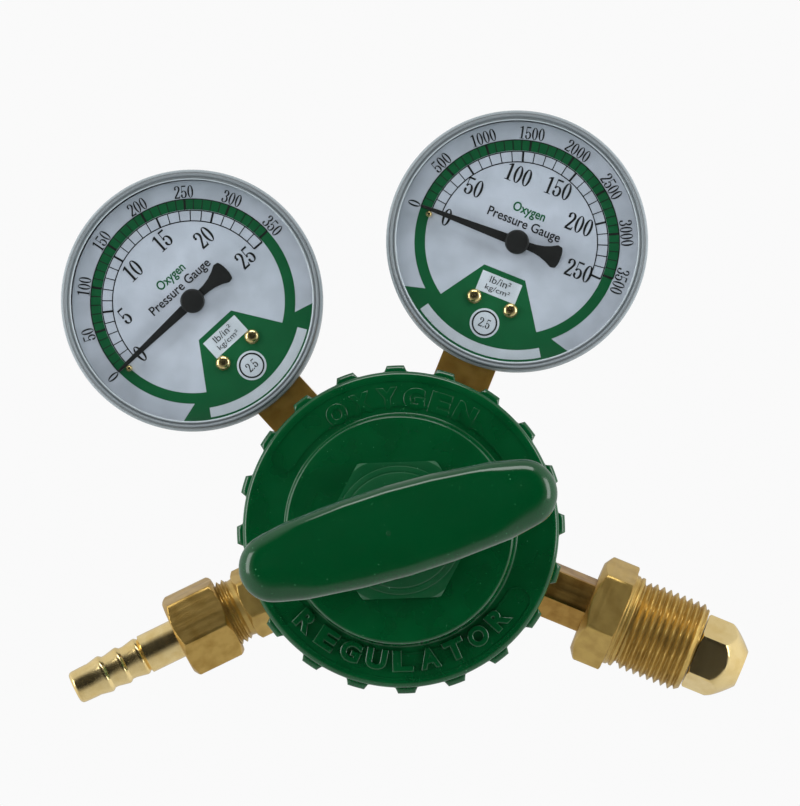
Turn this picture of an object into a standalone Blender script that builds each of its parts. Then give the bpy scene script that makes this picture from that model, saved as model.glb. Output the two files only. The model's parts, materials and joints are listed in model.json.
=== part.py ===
"""Single-stage gas cylinder regulator with two bourdon-tube gauges.

Shape functions take millimetres and hand Blender metres. World +X is right and +Z is up
seen from the front, and the front faces -Y. The origin is the centre of the rear plug's
flat face, on the main axis, and "forward" distances run from it towards the T-handle.
"""
import math

import bmesh
import bpy
from mathutils import Matrix, Vector

MM = 0.001
GAP = 0.3

# Layout: the four ports lie in one plane, and each points along its own angle about the main axis.
PORT_PLANE = 22.0
LOW_GAUGE_ANGLE = 132.5
HIGH_GAUGE_ANGLE = 68.1
INLET_ANGLE = -22.4
OUTLET_ANGLE = 206.0
GAUGE_REACH = 76.0
HANDLE_TILT = 16.5

# Body
BODY_REAR = 7.3
BLOCK_RADIUS = 24.0
FLANGE_RADIUS = 35.3
FLANGE_BACK = 32.0
FLANGE_FRONT = 42.0
LOW_CHAMBER_RADIUS = 22.0
LOW_CHAMBER_FLOOR = 30.0
NOZZLE_SEATING = 25.0
HIGH_BORE_RADIUS = 7.2
BOSS_RADIUS = 9.5
BOSS_REACH = 33.5
PORT_DEPTH = 22.5
DRILL_RADIUS = 2.0
LOW_PASSAGE_REACH = 19.5

# Bonnet
LUG_COUNT = 20
LUG_PITCH = 360.0 / LUG_COUNT
LUG_FIRST_ANGLE = 2.0
LUG_HALF_ANGLE = 3.4
LUG_FLANK_ANGLE = 4.2
LUG_RADIUS = 40.0
RIM_RADIUS = 38.5
SKIRT_BACK = 32.5
SKIRT_FRONT = 49.0
TURRET_BASE_RADIUS = 28.1
TURRET_TOP_RADIUS = 26.1
TURRET_FRONT = 77.0

# Adjusting screw and handle
SCREW_RADIUS = 6.0
SCREW_BACK = 72.8
SCREW_FRONT = 104.0
HUB_BACK = 93.0
BAR_BACK = 98.0
BAR_FRONT = 111.0
PIN_FORWARD = 96.5
PIN_RADIUS = 1.5

# Gauges, in the gauge's own frame: x right, y away from the main axis, z forward
CASE_RADIUS = 31.2
CASE_WALL = 0.6
CASE_BACK = -11.5
CASE_FRONT = 12.0
LENS_RADIUS = 32.1
DIAL_BACK = 7.2
DIAL_FRONT = 7.7
SOCKET_HALF = 6.9
SOCKET_TOP = -13.3
ZERO_ANGLE = 181.0
GEAR_MODULE = 0.25
SECTOR_TEETH = 80
PINION_TEETH = 10
SECTOR_PIVOT_ANGLE = 285.5
SECTOR_DISTANCE = GEAR_MODULE * (SECTOR_TEETH + PINION_TEETH) / 2 + 0.05
LINK_PIN_OFFSET = Vector((5.0, -0.6))
TUBE_RADIUS = 20.0
TUBE_TIP_ANGLE = -45.0


def polar(radius, degrees):
    """Point in the local xy plane at a radius and an angle."""
    angle = math.radians(degrees)
    return Vector((radius * math.cos(angle), radius * math.sin(angle)))


def axes_at(origin, x_axis, y_axis, z_axis):
    """World matrix with its origin given in millimetres."""
    columns = [Vector(axis).to_4d() for axis in (x_axis, y_axis, z_axis)]
    for column in columns:
        column[3] = 0.0
    columns.append((Vector(origin) * MM).to_4d())
    return Matrix(columns).transposed()


def shifted(frame, x=0.0, y=0.0, z=0.0, turn=0.0):
    """The same frame moved by millimetres, then turned about its own z axis by degrees."""
    return frame @ Matrix.Translation(Vector((x, y, z)) * MM) @ Matrix.Rotation(math.radians(turn), 4, "Z")


def port_axes(angle):
    """Frame of a port: z runs outwards along the port, x points forward."""
    outward = Vector((math.cos(math.radians(angle)), 0.0, math.sin(math.radians(angle))))
    forward = Vector((0.0, -1.0, 0.0))
    return axes_at((0.0, -PORT_PLANE, 0.0), forward, outward.cross(forward), outward)


def gauge_axes(angle):
    """Frame of a gauge: y points away from the main axis, z points forward."""
    up = Vector((math.cos(math.radians(angle)), 0.0, math.sin(math.radians(angle))))
    right = Vector((up.z, 0.0, -up.x))
    centre = up * GAUGE_REACH + Vector((0.0, -PORT_PLANE, 0.0))
    return axes_at(centre, right, up, (0.0, -1.0, 0.0))


MAIN = axes_at((0.0, 0.0, 0.0), (1.0, 0.0, 0.0), (0.0, 0.0, 1.0), (0.0, -1.0, 0.0))


def material(name, colour, roughness, metallic):
    """Principled material with one colour."""
    made = bpy.data.materials.new(name)
    made.use_nodes = True
    shader = made.node_tree.nodes["Principled BSDF"]
    shader.inputs["Base Color"].default_value = (*colour, 1.0)
    shader.inputs["Roughness"].default_value = roughness
    shader.inputs["Metallic"].default_value = metallic
    return made


def mesh_object(name, shape, frame, finish):
    """Turn a bmesh in millimetres into an object in metres, placed by its frame."""
    bmesh.ops.scale(shape, vec=(MM, MM, MM), verts=shape.verts)
    bmesh.ops.recalc_face_normals(shape, faces=shape.faces)
    mesh = bpy.data.meshes.new(name)
    shape.to_mesh(mesh)
    shape.free()
    mesh.shade_smooth()
    mesh.set_sharp_from_angle(angle=math.radians(30))
    placed = bpy.data.objects.new(name, mesh)
    bpy.context.scene.collection.objects.link(placed)
    placed.matrix_world = frame
    if finish:
        mesh.materials.append(finish)
    return placed


def boolean(target, operation, shape, frame):
    """Add or remove a shape by an exact Boolean whose operand stays hidden."""
    operand = mesh_object(f"{target.name}_{operation.lower()}", shape, frame, None)
    operand.hide_render = True
    operand.display_type = "WIRE"
    operand.hide_set(True)
    modifier = target.modifiers.new(operation.title(), "BOOLEAN")
    modifier.operation = operation
    modifier.solver = "EXACT"
    modifier.object = operand


def cut(target, shape, frame):
    boolean(target, "DIFFERENCE", shape, frame)


def join(target, shape, frame):
    boolean(target, "UNION", shape, frame)


def even_angles(sides):
    return [360.0 * step / sides for step in range(sides)]


def hexagon(across_flats, turn=0.0):
    """Radius of a hexagon as a function of angle; one flat faces the turn angle."""
    def radius(degrees):
        off_flat = (degrees - turn + 30.0) % 60.0 - 30.0
        return across_flats / 2 / math.cos(math.radians(off_flat))
    return radius


def square(half_side):
    """Radius of a square as a function of angle; one side faces angle 0."""
    def radius(degrees):
        return half_side / math.cos(math.radians((degrees + 45.0) % 90.0 - 45.0))
    return radius


def stack(rows, sides=24, through=False, angles=None):
    """Solid built from rings along z.

    Each row is (radius, z), where radius is a number or a function of the angle in degrees.
    A through solid closes its last row onto its first, which leaves a bore; any other
    solid is capped at both ends.
    """
    angles = angles or even_angles(sides)
    shape = bmesh.new()
    rings = []
    for radius, height in rows:
        radii = [radius(angle) if callable(radius) else radius for angle in angles]
        points = [polar(r, angle) for r, angle in zip(radii, angles)]
        rings.append([shape.verts.new((point.x, point.y, height)) for point in points])
    pairs = list(zip(rings, rings[1:]))
    if through:
        pairs.append((rings[-1], rings[0]))
    else:
        shape.faces.new(rings[0])
        shape.faces.new(rings[-1])
    count = len(angles)
    for near, far in pairs:
        for index in range(count):
            following = (index + 1) % count
            shape.faces.new((near[index], near[following], far[following], far[index]))
    return shape


def prism(outline, back, front):
    """Solid with a constant outline between two heights."""
    shape = bmesh.new()
    rings = [[shape.verts.new((x, y, height)) for x, y in outline] for height in (back, front)]
    shape.faces.new(rings[0])
    shape.faces.new(rings[1])
    for index in range(len(outline)):
        following = (index + 1) % len(outline)
        shape.faces.new((rings[0][index], rings[0][following], rings[1][following], rings[1][index]))
    return shape


def cylinder(radius, back, front, sides=16, centre=(0.0, 0.0)):
    """Round prism about a centre in the local xy plane."""
    return prism([polar(radius, a) + Vector(centre) for a in even_angles(sides)], back, front)


def rectangle(x_low, x_high, y_low, y_high):
    return [(x_low, y_low), (x_high, y_low), (x_high, y_high), (x_low, y_high)]


def sweep(centres, across, up, half_across, half_up):
    """Rectangular strip along a path, with its two cross directions given at every point."""
    shape = bmesh.new()
    rings = []
    for centre, side, rise in zip(centres, across, up):
        corners = [(-1, -1), (1, -1), (1, 1), (-1, 1)]
        points = [centre + side * half_across * a + rise * half_up * b for a, b in corners]
        rings.append([shape.verts.new(point) for point in points])
    shape.faces.new(rings[0])
    shape.faces.new(rings[-1])
    for near, far in zip(rings, rings[1:]):
        for index in range(4):
            following = (index + 1) % 4
            shape.faces.new((near[index], near[following], far[following], far[index]))
    return shape


def coil(radius, wire, back, front, turns, steps_per_turn, wire_sides):
    """Round-wire compression spring about z, between its two end planes."""
    shape = bmesh.new()
    steps = round(turns * steps_per_turn)
    rise = (front - back - 2 * wire) / steps
    rings = []
    for step in range(steps + 1):
        angle = 360.0 * step / steps_per_turn
        radial = Vector((*polar(1.0, angle), 0.0))
        centre = radial * (radius - wire) + Vector((0.0, 0.0, back + wire + rise * step))
        offsets = [polar(wire, a) for a in even_angles(wire_sides)]
        rings.append([shape.verts.new(centre + radial * o.x + Vector((0.0, 0.0, o.y))) for o in offsets])
    shape.faces.new(rings[0])
    shape.faces.new(rings[-1])
    for near, far in zip(rings, rings[1:]):
        for index in range(wire_sides):
            following = (index + 1) % wire_sides
            shape.faces.new((near[index], near[following], far[following], far[index]))
    return shape


def strip_arc(radius_at, start, end, steps, half_thickness, back, front):
    """Flat strip wound about z; radius_at gives its radius at a share from 0 to 1."""
    centres, across, up = [], [], []
    for step in range(steps + 1):
        share = step / steps
        radial = Vector((*polar(1.0, start + (end - start) * share), 0.0))
        centres.append(radial * radius_at(share) + Vector((0.0, 0.0, (back + front) / 2)))
        across.append(radial)
        up.append(Vector((0.0, 0.0, 1.0)))
    return sweep(centres, across, up, half_thickness, (front - back) / 2)


def stadium(start, end, radius, sides=5):
    """Outline of a bar with round ends between two points."""
    start, end = Vector(start), Vector(end)
    heading = math.degrees(math.atan2(end.y - start.y, end.x - start.x))
    swing = [180.0 * step / sides for step in range(sides + 1)]
    return [end + polar(radius, heading - 90 + a) for a in swing] + [
        start + polar(radius, heading + 90 + a) for a in swing
    ]


def build_body(brass):
    """Machined block with its chambers, four port bosses and their drillings."""
    body = mesh_object("regulator_body", stack([
        (BLOCK_RADIUS, BODY_REAR), (BLOCK_RADIUS, FLANGE_BACK),
        (FLANGE_RADIUS, FLANGE_BACK), (FLANGE_RADIUS, FLANGE_FRONT),
        (LOW_CHAMBER_RADIUS, FLANGE_FRONT), (LOW_CHAMBER_RADIUS, LOW_CHAMBER_FLOOR),
        (5.0, LOW_CHAMBER_FLOOR), (5.0, NOZZLE_SEATING),
        (HIGH_BORE_RADIUS, NOZZLE_SEATING), (HIGH_BORE_RADIUS, BODY_REAR),
    ], sides=36, through=True), MAIN, brass)
    ports = (
        (LOW_GAUGE_ANGLE, 6.9, False), (HIGH_GAUGE_ANGLE, 6.9, True),
        (INLET_ANGLE, 6.4, True), (OUTLET_ANGLE, 6.4, False),
    )
    for angle, _, _ in ports:
        join(body, cylinder(BOSS_RADIUS, BLOCK_RADIUS - 3, BOSS_REACH, 24), port_axes(angle))
    for angle, bore, high_pressure in ports:
        port = port_axes(angle)
        cut(body, cylinder(bore, PORT_DEPTH, BOSS_REACH + 1, 20), port)
        drill_end = HIGH_BORE_RADIUS - 1 if high_pressure else LOW_PASSAGE_REACH
        cut(body, cylinder(DRILL_RADIUS, drill_end, PORT_DEPTH + 1, 10), port)
        if not high_pressure:
            passage = polar(LOW_PASSAGE_REACH, angle)
            cut(body, cylinder(DRILL_RADIUS, PORT_PLANE, LOW_CHAMBER_FLOOR + 1, 10), shifted(MAIN, *passage))


def build_valve(brass, steel, rubber, plastic):
    """Rear plug, seat, stem, spring and nozzle of the high-pressure valve."""
    plug_hex = hexagon(19.0, 15.0)
    mesh_object("rear_plug", stack([
        (plug_hex, 0.0), (plug_hex, 5.7), (6.9, 5.7), (6.9, 14.0), (4.6, 14.0), (4.6, 8.0),
    ]), MAIN, brass)
    mesh_object("plug_gasket", stack(
        [(10.5, 6.0), (10.5, 7.0), (7.4, 7.0), (7.4, 6.0)], through=True), MAIN, plastic)
    nozzle_hex = hexagon(11.0)
    mesh_object("valve_nozzle", stack([
        (2.4, 24.8), (2.8, 25.5), (4.7, 25.5), (4.7, 30.3), (nozzle_hex, 30.3), (nozzle_hex, 32.5),
        (1.7, 32.5), (1.7, 24.8),
    ], through=True), MAIN, brass)
    mesh_object("valve_stem", stack([(4.2, 19.5), (4.2, 22.0), (0.9, 22.0), (0.9, 41.7)], 12), MAIN, steel)
    mesh_object("valve_seat", stack(
        [(3.4, 22.3), (3.4, 24.3), (1.2, 24.3), (1.2, 22.3)], 12, through=True), MAIN, rubber)
    mesh_object("valve_spring", coil(3.2, 0.45, 8.6, 19.2, 5.5, 10, 4), MAIN, steel)


def build_bonnet(paint, brass, steel, rubber):
    """Diaphragm, its plate and slip ring, the range spring and the castellated bonnet over them."""
    mesh_object("diaphragm", cylinder(34.0, 42.3, 43.9, 36), MAIN, rubber)
    mesh_object("slip_ring", stack(
        [(34.0, 44.2), (34.0, 45.0), (24.0, 45.0), (24.0, 44.2)], 32, through=True), MAIN, steel)
    mesh_object("diaphragm_plate", stack(
        [(16.0, 44.2), (16.0, 46.7), (8.0, 46.7), (8.0, 50.0)]), MAIN, brass)
    mesh_object("range_spring", coil(11.5, 1.6, 47.0, 69.2, 4.5, 14, 6), MAIN, steel)
    mesh_object("spring_button", stack(
        [(9.0, 69.5), (14.0, 69.5), (14.0, 71.5), (12.5, 72.5)]), MAIN, steel)

    angles = []
    for lug in range(LUG_COUNT):
        centre = LUG_FIRST_ANGLE + lug * LUG_PITCH
        angles += [centre + a for a in (-LUG_FLANK_ANGLE, -LUG_HALF_ANGLE, LUG_HALF_ANGLE, LUG_FLANK_ANGLE)]

    def rim(degrees):
        off_lug = abs((degrees - LUG_FIRST_ANGLE + LUG_PITCH / 2) % LUG_PITCH - LUG_PITCH / 2)
        return LUG_RADIUS if off_lug < (LUG_HALF_ANGLE + LUG_FLANK_ANGLE) / 2 else RIM_RADIUS

    mesh_object("bonnet", stack([
        (rim, SKIRT_BACK), (rim, SKIRT_FRONT), (TURRET_BASE_RADIUS, SKIRT_FRONT),
        (TURRET_TOP_RADIUS, TURRET_FRONT), (13.3, TURRET_FRONT), (13.3, 73.5),
        (24.0, 73.5), (24.0, 45.3), (35.6, 45.3), (35.6, SKIRT_BACK),
    ], angles=angles, through=True), MAIN, paint)
    boss = hexagon(32.5, 92.0)
    mesh_object("bonnet_bush", stack([
        (13.0, 73.0), (13.0, TURRET_FRONT + GAP), (boss, TURRET_FRONT + GAP), (boss, 84.3),
        (6.3, 84.3), (6.3, 73.0),
    ], angles=[a + 2.0 for a in even_angles(24)], through=True), MAIN, paint)


def handle_outline(inset):
    """Outline of the T-handle's bar, long along x, drawn in from its widest edge."""
    widths = ((0.0, 11.1), (12.0, 10.7), (25.0, 9.5), (32.0, 7.95))
    end_centre = 32.0
    corner = [(x, y - inset) for x, y in reversed(widths)]
    end = [Vector((end_centre, 0.0)) + Vector((math.cos(a) * (6.4 - inset), math.sin(a) * (7.95 - inset)))
           for a in (math.radians(30), math.radians(60))]
    tip = [(38.4 - inset, 0.0)]
    quarter = tip + [tuple(point) for point in end] + corner
    half = quarter + [(-x, y) for x, y in reversed(quarter[:-1])]
    return half + [(x, -y) for x, y in reversed(half[1:-1])]


def build_handle(paint, steel):
    """Adjusting screw with the T-handle pinned to its front end."""
    bar_axes = shifted(MAIN, turn=HANDLE_TILT)
    across = bar_axes @ Matrix.Translation((0.0, 0.0, PIN_FORWARD * MM)) @ Matrix.Rotation(
        math.radians(90), 4, "X")
    screw = mesh_object("adjusting_screw", cylinder(SCREW_RADIUS, SCREW_BACK, SCREW_FRONT, 20), MAIN, steel)
    cut(screw, cylinder(PIN_RADIUS + GAP, -12.0, 12.0, 12), across)

    edge = 2.5
    layers = ((edge, BAR_BACK), (0.0, BAR_BACK + edge), (0.0, BAR_FRONT - edge), (edge, BAR_FRONT))
    shape = bmesh.new()
    rings = [[shape.verts.new((x, y, z)) for x, y in handle_outline(inset)] for inset, z in layers]
    shape.faces.new(rings[0])
    shape.faces.new(rings[-1])
    for near, far in zip(rings, rings[1:]):
        for index in range(len(near)):
            following = (index + 1) % len(near)
            shape.faces.new((near[index], near[following], far[following], far[index]))
    handle = mesh_object("t_handle", shape, bar_axes, paint)
    join(handle, cylinder(10.0, HUB_BACK, BAR_BACK + 1, 24), bar_axes)
    cut(handle, cylinder(SCREW_RADIUS + GAP, HUB_BACK - 1, SCREW_FRONT + GAP, 20), bar_axes)
    cut(handle, cylinder(PIN_RADIUS + GAP, -12.0, 12.0, 12), across)
    mesh_object("handle_pin", cylinder(PIN_RADIUS, -9.4, 9.4, 12), across, steel)


def build_inlet(brass, polished, mesh_grey):
    """Bullnose inlet: stem screwed into the body, captive nut, nose and sintered filter."""
    axes = port_axes(INLET_ANGLE)
    stem_hex = hexagon(12.5)
    mesh_object("inlet_stem", stack([
        (6.1, 23.0), (6.1, 33.8), (stem_hex, 33.8), (stem_hex, 78.0), (4.2, 78.0), (4.2, 83.5),
        (2.0, 83.5), (2.0, 23.0),
    ], through=True), shifted(axes, turn=16.0), brass)
    nut_hex = hexagon(24.0)
    mesh_object("inlet_nut", stack([
        (11.2, 49.5), (nut_hex, 51.0), (nut_hex, 58.1), (11.9, 58.1), (11.9, 61.0), (11.45, 61.0),
        (11.45, 77.0), (10.5, 78.0), (7.7, 78.0), (7.7, 49.5),
    ], through=True), shifted(axes, turn=10.0), polished)
    nose_hex = hexagon(16.8)
    mesh_object("inlet_nose", stack([
        (nose_hex, 78.3), (nose_hex, 85.0), (7.4, 87.6), (4.65, 90.5), (2.0, 90.5), (2.0, 88.3),
        (3.6, 88.3), (3.6, 84.0), (4.5, 84.0), (4.5, 78.3),
    ], through=True), shifted(axes, turn=-6.0), brass)
    mesh_object("inlet_filter", cylinder(3.3, 84.3, 88.0, 12), axes, mesh_grey)


def build_outlet(brass, polished):
    """Threaded adapter, union nut and the hose tail it clamps."""
    axes = port_axes(OUTLET_ANGLE)
    adapter_hex = hexagon(16.0)
    mesh_object("outlet_adapter", stack([
        (6.1, 23.0), (6.1, 33.8), (adapter_hex, 33.8), (adapter_hex, 43.4), (7.6, 43.4), (7.6, 45.0),
        (8.3, 45.0), (8.3, 55.0), (7.8, 55.5), (2.5, 55.5), (2.5, 23.0),
    ], through=True), shifted(axes, turn=12.0), brass)
    nut_hex = hexagon(19.3)
    mesh_object("union_nut", stack([
        (nut_hex, 48.0), (nut_hex, 61.4), (5.2, 61.4), (5.2, 58.6), (8.6, 58.6), (8.6, 48.0),
    ], through=True), shifted(axes, turn=18.0), polished)
    ridges = [(radius, 89.9 - depth) for depth, radius in (
        (18.0, 4.78), (15.5, 4.2), (13.0, 4.78), (10.6, 4.2), (8.2, 4.78), (5.0, 4.3), (0.0, 4.05))]
    mesh_object("hose_barb", stack([
        (5.6, 55.8), (6.6, 56.6), (6.6, 58.3), (4.9, 58.3), (4.9, 70.0), *ridges,
        (2.7, 89.9), (2.7, 55.8),
    ], 20, through=True), axes, brass)


def gear_outline(module, teeth, first_angle, count, root_share, tip_share):
    """Outline points of straight-flanked teeth; shares are of half the tooth pitch angle."""
    pitch = 360.0 / teeth
    pitch_radius = module * teeth / 2
    points = []
    for tooth in range(count):
        centre = first_angle + tooth * pitch
        for radius, share in ((pitch_radius - 1.25 * module, -root_share), (pitch_radius + module, -tip_share),
                              (pitch_radius + module, tip_share), (pitch_radius - 1.25 * module, root_share)):
            points.append(polar(radius, centre + share * pitch / 2))
    return points


def pointer_outline():
    """Blade, waist and flared tail of a pointer that lies along +x."""
    upper = [(25.3, 0.35), (0.0, 1.1), (-4.0, 1.0), (-11.0, 2.87)]
    return [*upper, (-11.5, 0.0), *[(x, -y) for x, y in reversed(upper)]]


def build_gauge(prefix, angle, finishes):
    """One bourdon-tube gauge: case, lens, dial, movement and pointer."""
    brass, black, clear, white = finishes
    axes = gauge_axes(angle)

    def piece(name, shape, finish, frame=axes):
        return mesh_object(f"{prefix}_{name}", shape, frame, finish)

    inner = CASE_RADIUS - CASE_WALL
    case = piece("gauge_case", stack([
        (CASE_RADIUS - 1.5, CASE_BACK), (CASE_RADIUS, CASE_BACK + 1.5), (CASE_RADIUS, CASE_FRONT),
        (inner, CASE_FRONT), (inner, CASE_BACK + 1.8), (inner - 1.5, CASE_BACK + 1.2),
    ], 40), black)
    opening = SOCKET_HALF + GAP + 0.1
    side_view = axes @ Matrix.Rotation(math.radians(90), 4, "X")
    cut(case, prism(rectangle(-opening, opening, -opening, opening), 27.0, 33.0), side_view)

    piece("gauge_lens", stack([
        (31.5, 8.5), (LENS_RADIUS, 8.5), (LENS_RADIUS, 15.8), (30.9, 17.0),
    ], 40), clear)
    lens = bpy.data.objects[f"{prefix}_gauge_lens"]
    cut(lens, cylinder(31.5, 7.5, 15.5, 40), axes)

    dial = piece("dial", stack(
        [(29.8, DIAL_BACK), (29.8, DIAL_FRONT), (1.6, DIAL_FRONT), (1.6, DIAL_BACK)], 32, through=True), white)
    for side, offset in (("left", -4.8), ("right", 4.8)):
        centre = (offset, -16.25)
        cut(dial, cylinder(1.2, DIAL_BACK - 1, DIAL_FRONT + 1, 10, centre), axes)
        piece(f"dial_screw_{side}", stack(
            [(0.8, 7.25), (0.8, 8.0), (1.9, 8.0), (1.7, 8.6), (0.9, 9.0)], 12), brass, shifted(axes, *centre))
    stop = polar(22.7, ZERO_ANGLE + 3.2)
    piece("stop_pin", cylinder(0.6, DIAL_FRONT + GAP, 11.0, 8, stop), brass)

    socket = piece("gauge_socket", stack([
        (6.6, 23.0), (6.6, 34.0), (square(SOCKET_HALF), 34.0),
        (square(SOCKET_HALF), GAUGE_REACH + SOCKET_TOP),
    ]), brass, port_axes(angle))
    cut(socket, cylinder(DRILL_RADIUS, 22.0, 56.0, 10), port_axes(angle))

    piece("bourdon_tube", strip_arc(lambda share: TUBE_RADIUS, 246.5, TUBE_TIP_ANGLE, 24, 0.9, -8.2, -1.2), brass)
    tip = polar(TUBE_RADIUS, TUBE_TIP_ANGLE)
    tip_axes = shifted(axes, *tip, turn=TUBE_TIP_ANGLE)
    tip_end = -0.3
    tube_tip = piece("bourdon_tip", prism(rectangle(-1.4, 1.4, -3.4, tip_end), -8.2, -1.2), brass, tip_axes)
    join(tube_tip, cylinder(0.8, -1.5, 2.2, 8, (0.0, -1.85)), tip_axes)

    pivot = polar(SECTOR_DISTANCE, SECTOR_PIVOT_ANGLE)
    mesh_angle = SECTOR_PIVOT_ANGLE - 180.0
    sector_axes = shifted(axes, *pivot)
    tooth_pitch = 360.0 / SECTOR_TEETH
    teeth = gear_outline(GEAR_MODULE, SECTOR_TEETH, mesh_angle - 6 * tooth_pitch, 8, 0.7, 0.24)
    tail = LINK_PIN_OFFSET
    tail_side = Vector((0.9, 0.5))
    outline = [*teeth, Vector((-1.4, -0.9)), Vector((0.6, -1.5)), tail - tail_side, tail + tail_side,
               Vector((1.5, 1.3))]
    sector = piece("sector", prism(outline, 1.4, 2.2), brass, sector_axes)
    join(sector, cylinder(0.7, -1.2, 5.7, 10), sector_axes)
    tip_pin = tip + polar(1.85, TUBE_TIP_ANGLE - 90)
    link_axes = shifted(axes, *(pivot + tail))
    link = stadium((0.0, 0.0), tip_pin - pivot - tail, 0.9)
    piece("link", prism(link, 2.5, 3.1), brass, link_axes)

    pinion_first = SECTOR_PIVOT_ANGLE + 180.0 / PINION_TEETH
    pinion = gear_outline(GEAR_MODULE, PINION_TEETH, pinion_first, PINION_TEETH, 0.5, 0.18)
    pinion_piece = piece("pinion", prism(pinion, 1.0, 2.6), brass)
    join(pinion_piece, cylinder(0.6, -1.5, 11.0, 10), axes)

    plates = (("movement_back_plate", -0.9, -0.1), ("movement_front_plate", 4.6, 5.4))
    for name, back, front in plates:
        plate = piece(name, prism(rectangle(-7.6, 7.6, -12.9, 4.8), back, front), brass)
        cut(plate, cylinder(1.0, back - 1, front + 1, 10), axes)
        cut(plate, cylinder(1.0, back - 1, front + 1, 10), sector_axes)
        if back < 0:
            for post in ((-5.8, -11.0), (6.0, 3.2)):
                join(plate, cylinder(1.1, -0.5, 4.3, 10, post), axes)
    piece("hairspring", strip_arc(lambda share: 1.1 + 3.4 * share, 0.0, 900.0, 32, 0.1, 2.9, 3.3), brass)

    pointer_axes = shifted(axes, turn=ZERO_ANGLE)
    pointer = piece("pointer", prism(pointer_outline(), 9.5, 10.1), black, pointer_axes)
    join(pointer, cylinder(3.0, 9.2, 12.0, 20), pointer_axes)
    cut(pointer, cylinder(0.9, 8.0, 11.3, 12), pointer_axes)


def main():
    for existing in list(bpy.data.objects):
        bpy.data.objects.remove(existing)
    brass = material("brass", (0.78, 0.58, 0.25), 0.25, 1.0)
    polished = material("polished_brass", (0.86, 0.66, 0.30), 0.15, 1.0)
    paint = material("green_paint", (0.004, 0.09, 0.05), 0.22, 0.0)
    steel = material("steel", (0.55, 0.55, 0.56), 0.30, 1.0)
    rubber = material("rubber", (0.03, 0.03, 0.03), 0.70, 0.0)
    plastic = material("nylon", (0.75, 0.72, 0.65), 0.50, 0.0)
    sintered = material("sintered_bronze", (0.45, 0.33, 0.20), 0.65, 1.0)
    black = material("black_enamel", (0.02, 0.02, 0.02), 0.30, 0.0)
    clear = material("clear_plastic", (0.85, 0.90, 0.90), 0.05, 0.0)
    white = material("dial_white", (0.75, 0.80, 0.84), 0.45, 0.0)
    build_body(brass)
    build_valve(brass, steel, rubber, plastic)
    build_bonnet(paint, brass, steel, rubber)
    build_handle(paint, steel)
    build_inlet(brass, polished, sintered)
    build_outlet(brass, polished)
    finishes = (brass, black, clear, white)
    build_gauge("low", LOW_GAUGE_ANGLE, finishes)
    build_gauge("high", HIGH_GAUGE_ANGLE, finishes)


main()
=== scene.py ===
"""Looks of the gas regulator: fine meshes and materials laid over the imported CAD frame.

Local shapes are drawn in millimetres in the frames of the real parts: the main axis, the
inlet, the outlet and each gauge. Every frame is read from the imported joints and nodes.
"""
import json
from math import ceil, copysign, cos, pi, radians, sin

import bmesh
import bpy
from mathutils import Matrix, Vector


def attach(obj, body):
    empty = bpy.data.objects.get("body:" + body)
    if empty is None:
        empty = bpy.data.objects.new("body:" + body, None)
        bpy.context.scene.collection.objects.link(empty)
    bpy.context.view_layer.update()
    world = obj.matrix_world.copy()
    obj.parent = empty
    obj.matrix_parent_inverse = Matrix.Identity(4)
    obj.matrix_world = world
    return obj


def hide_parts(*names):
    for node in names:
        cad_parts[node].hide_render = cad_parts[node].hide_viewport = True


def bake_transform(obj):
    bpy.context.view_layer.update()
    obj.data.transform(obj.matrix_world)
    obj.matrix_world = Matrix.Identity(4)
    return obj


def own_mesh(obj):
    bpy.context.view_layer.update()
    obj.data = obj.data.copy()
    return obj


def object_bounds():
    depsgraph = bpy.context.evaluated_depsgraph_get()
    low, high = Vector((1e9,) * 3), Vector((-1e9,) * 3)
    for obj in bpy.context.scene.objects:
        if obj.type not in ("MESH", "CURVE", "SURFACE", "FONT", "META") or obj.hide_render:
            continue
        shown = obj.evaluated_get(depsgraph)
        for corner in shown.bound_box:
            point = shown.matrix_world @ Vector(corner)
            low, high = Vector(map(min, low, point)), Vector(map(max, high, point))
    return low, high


MM = 0.001
SMOOTH_ANGLE = radians(32)

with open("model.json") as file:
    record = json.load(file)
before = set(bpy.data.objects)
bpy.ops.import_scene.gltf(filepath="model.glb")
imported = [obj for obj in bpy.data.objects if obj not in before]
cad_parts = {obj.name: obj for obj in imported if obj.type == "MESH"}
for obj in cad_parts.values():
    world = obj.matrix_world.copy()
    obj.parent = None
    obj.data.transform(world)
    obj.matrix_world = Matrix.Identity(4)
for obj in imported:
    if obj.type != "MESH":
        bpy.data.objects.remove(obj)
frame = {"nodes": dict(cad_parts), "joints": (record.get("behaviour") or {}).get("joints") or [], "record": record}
CAD_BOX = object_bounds()
NODES = frame["nodes"]
JOINTS = {joint["name"]: joint for joint in frame["joints"]}
SLOTS = {row["node"]: row["material_slot"] for row in frame["record"]["subparts"]}
BODIES = {node: body for body, nodes in frame["record"]["behaviour"]["bodies"].items() for node in nodes}
FORWARD = Vector((0.0, -1.0, 0.0))


# ---- frames and measures

def axes_at(origin, x_axis, y_axis, z_axis):
    """World matrix from an origin in metres and three directions."""
    columns = [Vector((*axis, 0.0)) for axis in (x_axis, y_axis, z_axis)]
    return Matrix([*columns, Vector((*origin, 1.0))]).transposed()


def port_at(depth, outward):
    """Frame of a port at a depth in metres: z runs outwards and x points forward."""
    return axes_at((0.0, depth, 0.0), FORWARD, outward.cross(FORWARD), outward)


def port_axes(joint_name):
    """Frame of the inlet or the outlet, from the joint that turns about it."""
    joint = JOINTS[joint_name]
    return port_at(joint["pos_m"][1], Vector(joint["axis"]))


def gauge_axes(joint_name):
    """Frame of a gauge: y points away from the main axis, z points forward."""
    centre = Vector(JOINTS[joint_name]["pos_m"])
    up = Vector((centre.x, 0.0, centre.z)).normalized()
    return axes_at(centre, (up.z, 0.0, -up.x), up, FORWARD)


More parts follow.
